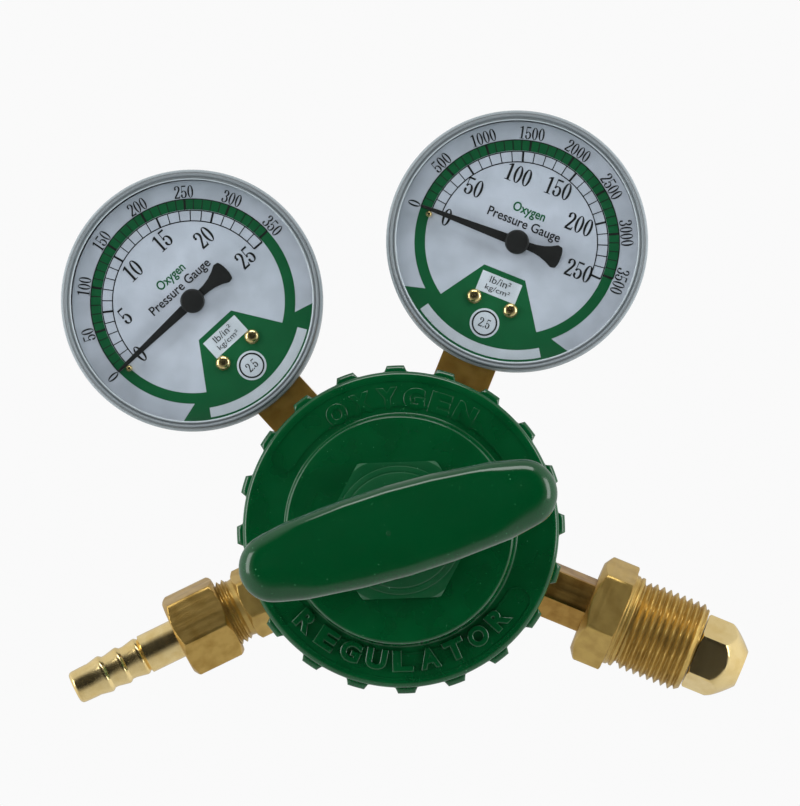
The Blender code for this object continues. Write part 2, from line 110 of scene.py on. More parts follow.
def gauge_port(axes):
    """Frame of the port that a gauge stands in."""
    return port_at(axes.translation.y, axes.to_3x3() @ Vector((0.0, 1.0, 0.0)))


MAIN = axes_at((0, 0, 0), (1, 0, 0), (0, 0, 1), FORWARD)
INLET = port_axes("inlet_nut_spin")
OUTLET = port_axes("union_nut_turn")
LOW = gauge_axes("low_pointer_turn")
HIGH = gauge_axes("high_pointer_turn")


def placed(x, y, turn=0.0):
    """Matrix that turns a shape by degrees in its own plane, then moves it across that plane."""
    return Matrix.Translation((x, y, 0.0)) @ Matrix.Rotation(radians(turn), 4, "Z")


def shifted(axes, x=0.0, y=0.0, turn=0.0):
    """The same frame moved by millimetres, then turned about its own z axis by degrees."""
    return axes @ placed(x * MM, y * MM, turn)


def extent(node, axes):
    """Near and far reach of a CAD node along a frame's z, and its greatest radius about it."""
    into = axes.inverted()
    points = [into @ vertex.co / MM for vertex in NODES[node].data.vertices]
    along = [point.z for point in points]
    return min(along), max(along), max(point.xy.length for point in points)


def polar(radius, degrees):
    angle = radians(degrees)
    return Vector((radius * cos(angle), radius * sin(angle)))


# ---- shapes, in millimetres

def sweep(start, end, steps):
    """Evenly spaced values from start to end, both included."""
    return [start + (end - start) * step / steps for step in range(steps + 1)]


def even_angles(sides):
    """Angles of one full turn."""
    return sweep(0.0, 360.0, sides)[:-1]


def rounded_polygon(across_flats, sides, turn=0.0, sharpness=130.0):
    """Radius of a regular polygon with softly rounded corners, as a function of angle."""
    pitch = 360.0 / sides

    def radius(degrees):
        off_flat = radians((degrees - turn + pitch / 2) % pitch - pitch / 2)
        next_flat = abs(off_flat) - radians(pitch)
        power = cos(off_flat) ** sharpness + max(0.0, cos(next_flat)) ** sharpness
        return across_flats / 2 / power ** (1 / sharpness)
    return radius


def limited(profile, limit):
    """A profile turned down to a largest radius."""
    return lambda degrees: min(profile(degrees), limit)


def chamfered(profile, corner, near, far, near_cut, far_cut, steps=5):
    """Rows of a polygon bar whose corners are turned off in an arc at each end.

    near_cut and far_cut are (radial, axial) sizes of the turned chamfer; None leaves it square.
    """
    def end_rows(end, cut, inwards):
        if not cut:
            return [(profile, end)]
        rows = [(limited(profile, corner - cut[0] * (1 - share)), end + inwards * cut[1] * share)
                for share in sweep(0.0, 1.0, steps)[:-1]]
        return rows + [(profile, end + inwards * cut[1])]
    return end_rows(near, near_cut, 1) + end_rows(far, far_cut, -1)[::-1]


def rounded_rows(points, size=0.3, steps=3):
    """Turned profile whose inner corners are eased with small arcs; the ends stay sharp."""
    rows = [points[0]]
    for before, corner, after in zip(points, points[1:], points[2:]):
        corner = Vector(corner)
        incoming, outgoing = Vector(before) - corner, Vector(after) - corner
        if min(incoming.length, outgoing.length) < 1e-6:
            rows.append(tuple(corner))
            continue
        reach = min(size, incoming.length * 0.45, outgoing.length * 0.45)
        start = corner + incoming.normalized() * reach
        end = corner + outgoing.normalized() * reach
        for share in sweep(0.0, 1.0, steps):
            rows.append(tuple(start.lerp(corner, share).lerp(corner.lerp(end, share), share)))
    rows.append(points[-1])
    return rows


def layered(outlines, through=False):
    """Solid skinned over closed outlines of (x, y, z): capped, or its last one joined to its first."""
    shape = bmesh.new()
    rings = [[shape.verts.new(point) for point in outline] for outline in outlines]
    for near, far in zip(rings, rings[1:] + rings[:1] if through else rings[1:]):
        for corners in zip(near, near[1:] + near[:1], far[1:] + far[:1], far):
            shape.faces.new(corners)
    if not through:
        shape.faces.new(rings[0])
        shape.faces.new(rings[-1])
    return shape


def stack(rows, sides=96, through=False):
    """Solid built from rings along z; each row is (radius or radius function, z)."""
    angles = even_angles(sides)
    outlines = []
    for radius, height in rows:
        radii = [radius(angle) if callable(radius) else radius for angle in angles]
        outlines.append([(*polar(r, angle), height) for r, angle in zip(radii, angles)])
    return layered(outlines, through)


def tube(rows, sides=96):
    """Hollow solid whose last row joins its first."""
    return stack(rows, sides, through=True)


def prism(outline, back, front):
    return layered([[(x, y, height) for x, y in outline] for height in (back, front)])


def disc(radius, back, front, centre=(0.0, 0.0), sides=48):
    return prism([polar(radius, angle) + Vector(centre) for angle in even_angles(sides)], back, front)


def ring_sector(inner, outer, start, end, back, front, steps=60):
    """Flat part of a ring between two angles."""
    swing = sweep(start, end, steps)
    outline = [polar(outer, a) for a in swing] + [polar(inner, a) for a in reversed(swing)]
    return prism(outline, back, front)


def flat_ring(inner, outer, back, front, sides):
    return tube([(outer, back), (outer, front), (inner, front), (inner, back)], sides)


def bar(centre, length, width, heading, back, front):
    """Rectangle of a length along its heading and a width across it."""
    along, across = polar(length / 2, heading), polar(width / 2, heading + 90)
    centre = Vector(centre)
    corners = [centre - along - across, centre + along - across, centre + along + across,
               centre - along + across]
    return prism(corners, back, front)


CREST_WIDTH = 1.15
FLANK_SLOPE = 2.6


def thread_rows(crest, depth, pitch, near, far, near_taper, far_taper, steps_per_pitch=12):
    """Rows of a true right-hand helical thread, run out to its root over a taper at each end."""
    count = ceil((far - near) / pitch * steps_per_pitch)

    def row(height):
        def radius(degrees):
            phase = ((height - near) / pitch - degrees / 360.0) % 1.0
            ridge = min(1.0, max(0.0, CREST_WIDTH - abs(phase - 0.5) * FLANK_SLOPE))
            allowed = min(1.0, (height - near) / near_taper, (far - height) / far_taper)
            return crest - depth + depth * min(ridge, allowed)
        return radius

    return [(row(height), height) for height in sweep(near, far, count)]


def merge(target, source, matrix=None):
    """Add one bmesh to another, optionally moved, and free it."""
    if matrix:
        bmesh.ops.transform(source, matrix=matrix, verts=source.verts)
    mesh = bpy.data.meshes.new("merge")
    source.to_mesh(mesh)
    source.free()
    target.from_mesh(mesh)
    bpy.data.meshes.remove(mesh)


# ---- pieces

def linked(name, data):
    """New scene object around a mesh, curve, light or camera."""
    made = bpy.data.objects.new(name, data)
    bpy.context.scene.collection.objects.link(made)
    return made


def solid(name, shape, axes):
    """Scene object made from a bmesh in millimetres, which is freed."""
    bmesh.ops.scale(shape, vec=(MM, MM, MM), verts=shape.verts)
    bmesh.ops.recalc_face_normals(shape, faces=shape.faces)
    mesh = bpy.data.meshes.new(name)
    shape.to_mesh(mesh)
    shape.free()
    made = linked(name, mesh)
    made.matrix_world = axes
    return made


def smoothed(mesh):
    mesh.shade_smooth()
    mesh.set_sharp_from_angle(angle=SMOOTH_ANGLE)


def piece(name, shape, axes, material, node, replaces=True, rides=True):
    """Piece that rides on the body of a CAD node, and hides the node if it replaces it.

    A piece that doesn't ride on the node's body is left unattached.
    """
    made = solid(name, shape, axes)
    smoothed(made.data)
    made.data.materials.append(material)
    if rides:
        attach(made, BODIES[node])
    if replaces:
        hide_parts(node)
    return made


def bevel(made, width):
    """Ease a piece's sharp edges by a width in millimetres."""
    modifier = made.modifiers.new("Eased edges", "BEVEL")
    modifier.width = width * MM
    modifier.segments = 2
    modifier.limit_method = "ANGLE"
    modifier.angle_limit = SMOOTH_ANGLE


def boolean(target, operation, shape, axes):
    """Add or remove a shape for good, so no helper is left in the scene."""
    operand = solid("operand", shape, axes)
    modifier = target.modifiers.new("Boolean", "BOOLEAN")
    modifier.operation, modifier.solver, modifier.object = operation, "EXACT", operand
    bpy.context.view_layer.update()
    evaluated = target.evaluated_get(bpy.context.evaluated_depsgraph_get())
    result = bpy.data.meshes.new_from_object(evaluated)
    target.modifiers.remove(modifier)
    target.data = result
    bpy.data.objects.remove(operand)
    smoothed(result)


# ---- materials

class Nodes:
    """Small builder for a material's or a world's node tree."""

    def __init__(self, name, kind="Material"):
        blocks = {"Material": bpy.data.materials, "World": bpy.data.worlds}[kind]
        self.block, self.kind = blocks.new(name), kind
        self.block.use_nodes = True
        self.tree = self.block.node_tree
        self.tree.nodes.clear()
        self.local = self.add("TexCoord").outputs["Object" if kind == "Material" else "Generated"]

    def add(self, kind, **settings):
        node = self.tree.nodes.new(f"ShaderNode{kind}")
        for key, value in settings.items():
            setattr(node, key, value)
        return node

    def plug(self, socket, value):
        """Link a socket to an input or set the input; a colour gains its alpha."""
        if isinstance(value, bpy.types.NodeSocket):
            self.tree.links.new(value, socket)
        elif socket.type == "RGBA":
            socket.default_value = (*value, 1.0)
        else:
            socket.default_value = value

    def fed(self, kind, **inputs):
        """First output of a new node whose inputs are filled by name, with _ for a space."""
        node = self.add(kind)
        for key, value in inputs.items():
            self.plug(node.inputs[key.replace("_", " ")], value)
        return node.outputs[0]

    def wired(self, kind, *values, **settings):
        """Outputs of a new node whose first inputs are filled in order."""
        node = self.add(kind, **settings)
        for socket, value in zip(node.inputs, values):
            self.plug(socket, value)
        return node.outputs

    def calc(self, operation, *values):
        """Arithmetic on numbers and sockets."""
        return self.wired("Math", *values, operation=operation)[0]

    def vector(self, operation, *values):
        """Vector arithmetic; its outputs are Vector and Value."""
        return self.wired("VectorMath", *values, operation=operation)

    def noise(self, period_mm, stretch=(1.0, 1.0, 1.0), detail=3.0, seed=0.0):
        """Noise whose features are about period_mm apart, stretched along the local axes."""
        scale = tuple(1.0 / (period_mm * MM * factor) for factor in stretch)
        place = self.fed("Mapping", Vector=self.local, Location=(seed, seed, seed), Scale=scale)
        return self.fed("TexNoise", Vector=place, Scale=1.0, Detail=detail)

    def ramp(self, value, low, high, out_low, out_high):
        """Map a value from one range to another, held at the ends."""
        return self.wired("MapRange", value, low, high, out_low, out_high, clamp=True)[0]

    def blend(self, factor, first, second):
        node = self.add("Mix", data_type="RGBA")
        for index, value in ((0, factor), (6, first), (7, second)):
            self.plug(node.inputs[index], value)
        return node.outputs[2]

    def bump(self, height, strength, distance_mm):
        return self.fed("Bump", Height=height, Strength=strength, Distance=distance_mm * MM)

    def mixed(self, factor, first, second):
        return self.wired("MixShader", factor, first, second)[0]

    def transparent(self, colour):
        return self.fed("BsdfTransparent", Color=colour)

    def principled(self, **inputs):
        return self.fed("BsdfPrincipled", **inputs)

    def finish(self, shader):
        self.plug(self.add(f"Output{self.kind}").inputs["Surface"], shader)
        return self.block


TURNED = (12.0, 12.0, 1.0)
DRAWN = (1.0, 1.0, 30.0)


def brass(name, light, dark, roughness, grain, grain_strength=0.25, metal=1.0):
    """Machined brass: tool marks along the grain and faint tarnish."""
    nodes = Nodes(name)
    marks = nodes.noise(0.16, grain, detail=2.0)
    tarnish = nodes.noise(4.0, detail=6.0, seed=3.0)
    tone = nodes.blend(nodes.ramp(tarnish, 0.42, 0.66, 0.0, 1.0), light, dark)
    dull = nodes.ramp(nodes.noise(1.2, grain, seed=7.0), 0.3, 0.75, roughness * 0.85, roughness * 1.25)
    normal = nodes.bump(marks, grain_strength, 0.02)
    return nodes.finish(nodes.principled(Base_Color=tone, Metallic=metal, Roughness=dull, Normal=normal))


def enamel(name, colour, deep, roughness, coat, peel_mm, peel):
    """Glossy paint: slight orange peel, uneven depth of colour and a few dust specks."""
    nodes = Nodes(name)
    tone = nodes.blend(nodes.ramp(nodes.noise(9.0, seed=2.0), 0.35, 0.7, 0.0, 1.0), colour, deep)
    specks = nodes.ramp(nodes.noise(0.5, detail=1.0, seed=11.0), 0.76, 0.79, 0.0, 0.6)
    tone = nodes.blend(specks, tone, (0.12, 0.30, 0.18))
    skin = nodes.bump(nodes.noise(peel_mm, detail=2.0), peel, 0.03)
    dull = nodes.ramp(nodes.noise(3.0, detail=4.0, seed=5.0), 0.3, 0.8, roughness * 0.8, roughness * 1.5)
    return nodes.finish(nodes.principled(
        Base_Color=tone, Roughness=dull, Normal=skin, Specular_IOR_Level=0.5, Coat_Weight=coat,
        Coat_Roughness=0.06))


def steel(name, colour, roughness, grain=TURNED):
    """Plated or drawn steel with fine marks along its grain."""
    nodes = Nodes(name)
    marks = nodes.noise(0.3, grain, detail=3.0)
    tone = nodes.blend(marks, colour, tuple(channel * 0.75 for channel in colour))
    dull = nodes.ramp(marks, 0.3, 0.7, roughness * 0.8, roughness * 1.3)
    return nodes.finish(nodes.principled(
        Base_Color=tone, Metallic=1.0, Roughness=dull, Normal=nodes.bump(marks, 0.2, 0.02)))


def matte(name, colour, roughness, grain_mm=0.4, strength=0.2):
    """Plain non-metal with a fine surface grain and slight unevenness of tone."""
    nodes = Nodes(name)
    grain = nodes.noise(grain_mm, detail=4.0)
    uneven = nodes.noise(7.0, seed=4.0)
    darker = tuple(channel * 0.82 for channel in colour)
    tone = nodes.blend(nodes.ramp(uneven, 0.3, 0.7, 0.0, 1.0), colour, darker)
    dull = nodes.ramp(grain, 0.3, 0.7, roughness * 0.9, min(1.0, roughness * 1.15))
    return nodes.finish(nodes.principled(
        Base_Color=tone, Roughness=dull, Normal=nodes.bump(grain, strength, 0.03)))


def clear_window(name):
    """Flat clear plastic: lets light straight through and keeps a surface reflection."""
    nodes = Nodes(name)
    scuffs = nodes.ramp(nodes.noise(0.9, (1.0, 9.0, 1.0), seed=6.0), 0.62, 0.72, 0.03, 0.10)
    gloss = nodes.fed("BsdfGlossy", Color=(1.0, 1.0, 1.0), Roughness=scuffs)
    mirror = nodes.fed("Fresnel", IOR=1.47)
    outside = nodes.calc("SUBTRACT", 1.0, nodes.add("NewGeometry").outputs["Backfacing"])
    share = nodes.calc("MULTIPLY", mirror, outside)
    return nodes.finish(nodes.mixed(share, nodes.transparent((0.97, 0.985, 0.985)), gloss))


# Radius, painted shade and cover of each ring of the clear rim: light and dark rings painted in place of its
# refraction and of the dark case behind it.
RIM_PAINTED_RINGS = ((29.5, 0.52, 0.85), (29.75, 0.44, 0.85), (30.0, 0.13, 0.85), (30.3, 0.08, 0.85),
             (30.75, 0.24, 0.85), (31.05, 0.15, 0.85), (31.3, 0.06, 0.85), (31.6, 0.22, 0.8),
             (32.1, 0.34, 0.7))


def clear_rim(name):
    """Thick moulded edge of the clear cap with a slight teal tint: the light and shade of its steps and of the
    case seen through it are painted on as rings of differing brightness.
    """
    nodes = Nodes(name)
    flat = nodes.vector("MULTIPLY", nodes.local, (1, 1, 0))["Vector"]
    near, far = RIM_PAINTED_RINGS[0][0], RIM_PAINTED_RINGS[-1][0]
    place = nodes.ramp(nodes.vector("LENGTH", flat)["Value"], near * MM, far * MM, 0.0, 1.0)
    bands = nodes.add("ValToRGB")
    stops = bands.color_ramp.elements
    for index, (radius, shade, cover) in enumerate(RIM_PAINTED_RINGS):
        at = (radius - near) / (far - near)
        stop = stops.new(at) if 0 < index < len(RIM_PAINTED_RINGS) - 1 else stops[0 if index == 0 else -1]
        stop.position = at
        stop.color = (shade * 0.88, shade, shade * 1.08, cover)
    nodes.tree.links.new(place, bands.inputs[0])
    ripple = nodes.noise(2.5, (5.0, 5.0, 1.0), seed=9.0)
    body = nodes.principled(Base_Color=bands.outputs["Color"], Roughness=0.10, IOR=1.49,
                            Normal=nodes.bump(ripple, 0.05, 0.03))
    shadow = nodes.add("LightPath").outputs["Is Shadow Ray"]
    clear_to_light = nodes.calc("SUBTRACT", 1.0, nodes.calc("MULTIPLY", shadow, 0.8))
    cover = nodes.calc("MULTIPLY", bands.outputs["Alpha"], clear_to_light)
    return nodes.finish(nodes.mixed(cover, nodes.transparent((0.80, 0.88, 0.88)), body))


BRASS = brass("brass_drawn", (0.59, 0.39, 0.115), (0.45, 0.28, 0.07), 0.335, DRAWN, 0.05, 0.93)
BRASS_SOCKET = brass("brass_socket", (0.74, 0.43, 0.10), (0.60, 0.33, 0.07), 0.335, DRAWN, 0.05, 0.86)
# Darker copy of the drawn brass for the inlet stem: painted shade for the shadow it sits in between the inlet nut
# and the bonnet.
BRASS_SHADED = brass("brass_painted_shade", (0.50, 0.30, 0.08), (0.34, 0.18, 0.04), 0.335, DRAWN, 0.05, 0.985)
BRASS_TURNED = brass("brass_turned", (0.555, 0.38, 0.113), (0.455, 0.30, 0.084), 0.33, TURNED, 0.03, 0.82)
BRASS_BRIGHT = brass("brass_bright", (0.98, 0.77, 0.37), (0.90, 0.67, 0.28), 0.17, TURNED, 0.03, 0.98)
BRASS_CAST = brass("brass_body", (0.62, 0.44, 0.17), (0.50, 0.34, 0.12), 0.36, TURNED, 0.35)
BRASS_MOVEMENT = brass("brass_stamped", (0.75, 0.57, 0.28), (0.62, 0.45, 0.20), 0.335, DRAWN)
GREEN = enamel("green_enamel", (0.0003, 0.049, 0.0124), (0.0002, 0.038, 0.0092), 0.14, 0.3, 1.6, 0.10)
# Lighter and rougher copy of the green enamel for the hexagonal bush: its lighter tone is painted light for the
# light its faces and edges catch.
GREEN_LIT = enamel("green_enamel_painted_light", (0.0008, 0.058, 0.0170), (0.0005, 0.050, 0.0140), 0.36, 0.2, 1.2,
                    0.25)
GREEN_HANDLE = enamel("green_moulding", (0.0001, 0.038, 0.0093), (0.0001, 0.035, 0.0084), 0.15, 0.18, 3.0,
                      0.04)
STEEL = steel("zinc_steel", (0.60, 0.60, 0.60), 0.36)
SPRING_STEEL = steel("spring_wire", (0.28, 0.28, 0.30), 0.35, DRAWN)
RUBBER = matte("black_rubber", (0.025, 0.025, 0.025), 0.75)
NYLON = matte("natural_nylon", (0.70, 0.67, 0.58), 0.5)
BRONZE = brass("sintered_bronze", (0.42, 0.30, 0.17), (0.30, 0.20, 0.10), 0.6, (1.0, 1.0, 1.0), 0.8)
CASE_BLACK = matte("black_case_enamel", (0.018, 0.020, 0.020), 0.32, grain_mm=0.7, strength=0.12)
POINTER_BLACK = matte("black_pointer_enamel", (0.012, 0.012, 0.012), 0.42, grain_mm=0.35, strength=0.35)
DIAL_WHITE = matte("dial_coat", (0.50, 0.53, 0.61), 0.5, 0.25, 0.06)
INK_WHITE = matte("dial_white_ink", (0.58, 0.62, 0.68), 0.5, 0.25, 0.06)
INK_GREEN = matte("dial_green_ink", (0.0002, 0.095, 0.028), 0.5, 0.25, 0.06)
INK_BLACK = matte("dial_black_ink", (0.010, 0.010, 0.010), 0.5, 0.25, 0.06)
CLEAR = clear_window("clear_window")
CLEAR_RIM = clear_rim("clear_rim")

HIDDEN_FINISH = {"brass": BRASS, "movement_brass": BRASS_MOVEMENT, "steel": STEEL, "rubber": RUBBER,
                 "sintered_bronze": BRONZE}


# ---- lettering

PEN_THICK = 0.135
PEN_THIN = 0.045
BALL = 0.075


def pen_stroke(points):
    """Ribbon drawn by a broad pen: thick where it runs up or down, thin where it runs across."""
    left, right = [], []
    for index, point in enumerate(points):
        before, after = points[max(0, index - 1)], points[min(len(points) - 1, index + 1)]
        run = (after - before).normalized()
        width = PEN_THIN + (PEN_THICK - PEN_THIN) * abs(run.y) ** 1.5
        side = Vector((-run.y, run.x)) * width / 2
        left.append(point + side)
        right.append(point - side)
    return left + right[::-1]


def bowl(centre, radii, start, end):
    """Points on an elliptical arc."""
    return [Vector(centre) + polar(1.0, angle) * Vector(radii) for angle in sweep(start, end, 14)]


def ball(centre):
    return [polar(BALL, angle) + Vector(centre) for angle in even_angles(12)]


def digit_outlines(character):
    """Closed outlines of a condensed book-face numeral, one unit high and centred."""
    if character == "0":
        outer, inner = (0.235, 0.5), (0.235 - PEN_THICK, 0.5 - PEN_THIN)
        return [bowl((0, 0), outer, start, start + 180) + bowl((0, 0), inner, start + 180, start)
                for start in (90.0, 270.0)]
    if character == "1":
        half = PEN_THICK / 2
        return [[(-half, -0.5), (half, -0.5), (half, 0.5), (-half, 0.46)],
                [(-half, 0.46), (-0.2, 0.36), (-0.2, 0.32), (-half, 0.36)],
                [(-0.19, -0.5), (0.19, -0.5), (0.19, -0.46), (-0.19, -0.46)]]
    if character == "2":
        arch = bowl((0.0, 0.25), (0.17, 0.225), 165, -20)
        slope = [Vector((0.11, 0.06)), Vector((0.0, -0.14)), Vector((-0.17, -0.44))]
        return [pen_stroke(arch + slope), ball((-0.14, 0.24)),
                [(-0.23, -0.5), (0.21, -0.5), (0.235, -0.28), (0.2, -0.28), (0.17, -0.38), (-0.16, -0.4)]]
    if character == "3":
        return [pen_stroke(bowl((-0.02, 0.255), (0.165, 0.22), 160, -90)),
                pen_stroke(bowl((-0.02, -0.225), (0.19, 0.25), 90, -160)),
                ball((-0.15, 0.27)), ball((-0.165, -0.27))]
    if character == "5":
        return [[(-0.16, 0.5), (0.19, 0.5), (0.17, 0.39), (-0.155, 0.40)],
                [(-0.165, 0.5), (-0.125, 0.5), (-0.14, 0.02), (-0.18, 0.0)],
                pen_stroke(bowl((-0.01, -0.19), (0.185, 0.275), 150, -160)), ball((-0.16, -0.25))]
    return [[(-0.06, -0.5), (0.06, -0.5), (0.06, -0.37), (-0.06, -0.37)]]


ADVANCE = {"1": 0.44, ".": 0.24}
USUAL_ADVANCE = 0.53


def number(text, height, back, front):
    """A number as one shape, centred on the origin."""
    shape = bmesh.new()
    advances = [ADVANCE.get(character, USUAL_ADVANCE) for character in text]
    x = -sum(advances) / 2
    for character, advance in zip(text, advances):
        for outline in digit_outlines(character):
            points = [((px + x + advance / 2) * height, py * height) for px, py in outline]
            merge(shape, prism(points, back, front))
        x += advance
    return shape


def words(text, height, width, back, front, boldness=0.0, bevel=0.0):
    """Plain words as one shape, centred on the origin and fitted to a height and a width."""
    curve = bpy.data.curves.new("words", "FONT")
    curve.body, curve.extrude, curve.offset = text, 0.06, boldness
    curve.bevel_depth, curve.bevel_resolution, curve.resolution_u = bevel, 2, 4
    helper = linked("words", curve)
    bpy.context.view_layer.update()
    mesh = bpy.data.meshes.new_from_object(helper.evaluated_get(bpy.context.evaluated_depsgraph_get()))
    shape = bmesh.new()
    shape.from_mesh(mesh)
    bpy.data.objects.remove(helper)
    bpy.data.meshes.remove(mesh)
    bmesh.ops.remove_doubles(shape, verts=shape.verts, dist=1e-5)
    lows = [min(vertex.co[axis] for vertex in shape.verts) for axis in range(3)]
    highs = [max(vertex.co[axis] for vertex in shape.verts) for axis in range(3)]
    for vertex in shape.verts:
        x, y, z = ((vertex.co[axis] - lows[axis]) / (highs[axis] - lows[axis]) for axis in range(3))
        vertex.co = ((x - 0.5) * width, (y - 0.5) * height, back + z * (front - back))
    return shape


# ---- body and rear plug

def build_body():
    """Turned block with a flange, its chambers and four port bosses."""
    back, front, flange = extent("regulator_body", MAIN)
    outer = rounded_rows([
        (23.0, back), (24.0, back + 1.0), (24.0, 31.2), (24.6, 32.0), (flange - 0.6, 32.0),
        (flange, 32.6), (flange, front - 0.4), (flange - 0.4, front)], 0.5)
    inner = [(22.0, front), (22.0, 30.0), (5.0, 30.0), (5.0, 25.0), (7.2, 25.0), (7.2, back)]
    body = piece("body_block", tube(outer + inner, 128), MAIN, BRASS_CAST, "regulator_body")
    for port, bore in ((INLET, 6.4), (OUTLET, 6.4), (gauge_port(LOW), 6.9), (gauge_port(HIGH), 6.9)):
        boss = rounded_rows([(9.5, 20.5), (9.5, 32.7), (9.0, 33.5), (8.6, 33.5)], 0.4)
        boolean(body, "UNION", stack(boss, 64), port)
        boolean(body, "DIFFERENCE", disc(bore, 26.0, 34.0), port)

    plug_hex = rounded_polygon(19.0, 6, 15.0)
    plug = chamfered(plug_hex, 10.97, 0.0, 5.7, (1.25, 0.8), None) + [(6.9, 5.7), (6.9, 14.0)]
    piece("rear_plug_hex", stack(plug), MAIN, BRASS_TURNED, "rear_plug")
    gasket = rounded_rows([(7.4, 6.0), (10.5, 6.0), (10.5, 7.0), (7.4, 7.0)], 0.2)
    piece("rear_gasket", tube(gasket), MAIN, NYLON, "plug_gasket")


# ---- bonnet

LUG_COUNT = 20
LUG_FIRST_ANGLE = 2.0
LUG_RISE = 1.5
LUG_HALF_ANGLE = 3.1
FLANK_ANGLE = 1.15
BAND_HEIGHT = 16.5
TURRET_BASE = 28.1
TURRET_TOP = 27.3
WORD_RADIUS = 32.0
WORD_HEIGHT = 5.3
WORD_STEP = 11.65
WORD_RELIEF = 1.0
LOW_RELIEF = 0.2


def build_bonnet():
    """Castellated bonnet with its turret, raised words and the hexagonal bush."""
    back, front, lug_radius = extent("bonnet", MAIN)
    band = back + BAND_HEIGHT
    pitch = 360.0 / LUG_COUNT

    def rim(inset, rise):
        def radius(degrees):
            off = abs((degrees - LUG_FIRST_ANGLE + pitch / 2) % pitch - pitch / 2)
            flank = min(1.0, max(0.0, (off - LUG_HALF_ANGLE) / FLANK_ANGLE))
            return lug_radius - LUG_RISE - inset + rise * (1 + cos(pi * flank)) / 2
        return radius

    arcs = [radians(angle) for angle in sweep(0.0, 90.0, 6)]
    edge, step_down = 1.3, band - 2.3
    outer = [(rim(edge * (1 - sin(a)), LUG_RISE), back + edge * (1 - cos(a))) for a in arcs]
    outer += [(rim(0.0, LUG_RISE * cos(a)), step_down - 1.1 * (1 - sin(a))) for a in arcs]
    outer += [(lug_radius - LUG_RISE - edge * (1 - cos(a)), band - edge * (1 - sin(a)))
              for a in arcs]
    turret = rounded_rows([
        (37.0, band), (36.0, band), (TURRET_BASE, band), (TURRET_TOP, front), (13.3, front)], 0.7, 4)
    inner = [(13.3, 73.5), (24.0, 73.5), (24.0, 45.3), (35.6, 45.3), (35.6, back)]
    shape = tube(outer + turret + inner, 360)
    piece("bonnet_shell", shape, MAIN, GREEN, "bonnet")

    lettering = bmesh.new()
    for text, middle, step, relief in (("REGULATOR", 271.0, WORD_STEP, WORD_RELIEF),
                                       ("OXYGEN", 90.0, -WORD_STEP, LOW_RELIEF)):
        for index, letter in enumerate(text):
            angle = middle + (index - (len(text) - 1) / 2) * step
            shape = words(letter, WORD_HEIGHT, WORD_HEIGHT, band - 0.25, band + relief, 0.01, 0.06)
            merge(lettering, shape, placed(*polar(WORD_RADIUS, angle), angle + copysign(90, step)))
    for start, end in ((212.0, 329.0), (31.0, 149.0)):
        merge(lettering, panel_ridge(start, end, 29.9, 36.6, 0.55, band - 0.1, band + 0.22))
    piece("bonnet_lettering", lettering, MAIN, GREEN, "bonnet", replaces=False)

    bush_back, bush_front, _ = extent("bonnet_bush", MAIN)
    bush_hex = rounded_polygon(32.5, 6, 92.0)
    rows = [(13.0, bush_back), (13.0, front + 0.3)]
    rows += chamfered(bush_hex, 18.7, front + 0.3, bush_front, None, (0.9, 0.8), 6)
    rows += rounded_rows([(15.6, bush_front), (15.4, bush_front - 0.12), (15.2, bush_front),
                          (14.2, bush_front), (13.9, bush_front - 0.15), (13.6, bush_front),
                          (6.9, bush_front), (6.3, bush_front - 0.6), (6.3, bush_back)], 0.1)
    # The bush takes the lighter enamel, whose painted light makes the hexagon stand out from the turret.
    piece("bush_hex", tube(rows, 144), MAIN, GREEN_LIT, "bonnet_bush")


def panel_ridge(start, end, inner, outer, width, back, front):
    """Low raised outline of a round-ended panel that follows the band."""
    def loop(inset):
        near, far = inner + inset, outer - inset
        middle, cap = (near + far) / 2, (far - near) / 2
        swing = sweep(start, end, 60)
        points = [polar(far, a) for a in swing]
        points += [polar(middle, end) + polar(cap, end + 12.0 * s) for s in range(1, 15)]
        points += [polar(near, a) for a in reversed(swing)]
        return points + [polar(middle, start) + polar(cap, start + 180 + 12.0 * s) for s in range(1, 15)]
    section = ((0.0, back), (0.1, front), (width - 0.1, front), (width, back))
    return layered([[(x, y, height) for x, y in loop(inset)] for inset, height in section], through=True)


# ---- screw and handle

HANDLE_TILT = 16.5
SIDE_EDGE = 2.8
END_EDGE = 5.2
BAR_BACK = 98.0
SCREW_PITCH = 1.5


def handle_outline():
    """Outline of the handle's bar with outward normals: straight tapering sides, round ends."""
    corners = [(0.0, 11.1), (11.0, 10.75), (25.0, 9.5), (32.3, 8.0)]
    side = []
    for (x0, y0), (x1, y1) in zip(corners, corners[1:]):
        side += [(x0 + (x1 - x0) * step / 6, y0 + (y1 - y0) * step / 6) for step in range(6)]
    cap = [polar(8.1, angle) + Vector((30.7, 0.0)) for angle in range(77, 0, -7)]
    quarter = side + cap
    half = quarter + [(38.8, 0.0)] + [(x, -y) for x, y in reversed(quarter)]
    loop = [Vector(point) for point in half + [(-x, -y) for x, y in half[1:-1]]]
    runs = [after - before for before, after in zip(loop[-1:] + loop, loop[1:] + loop[:1])]
    return [(point, Vector((-run.y, run.x)).normalized()) for point, run in zip(loop, runs)]


def drawn_in(outline, share, extra, height):
    """The outline drawn in by a share of its edge radius, which grows towards the ends."""
    points = []
    for point, normal in outline:
        towards_end = min(1.0, max(0.0, (abs(point.x) - 20.0) / 12.0))
        radius = SIDE_EDGE + (END_EDGE - SIDE_EDGE) * towards_end ** 2 * (3 - 2 * towards_end)
        points.append((*(point - normal * (radius * share + extra)), height))
    return points


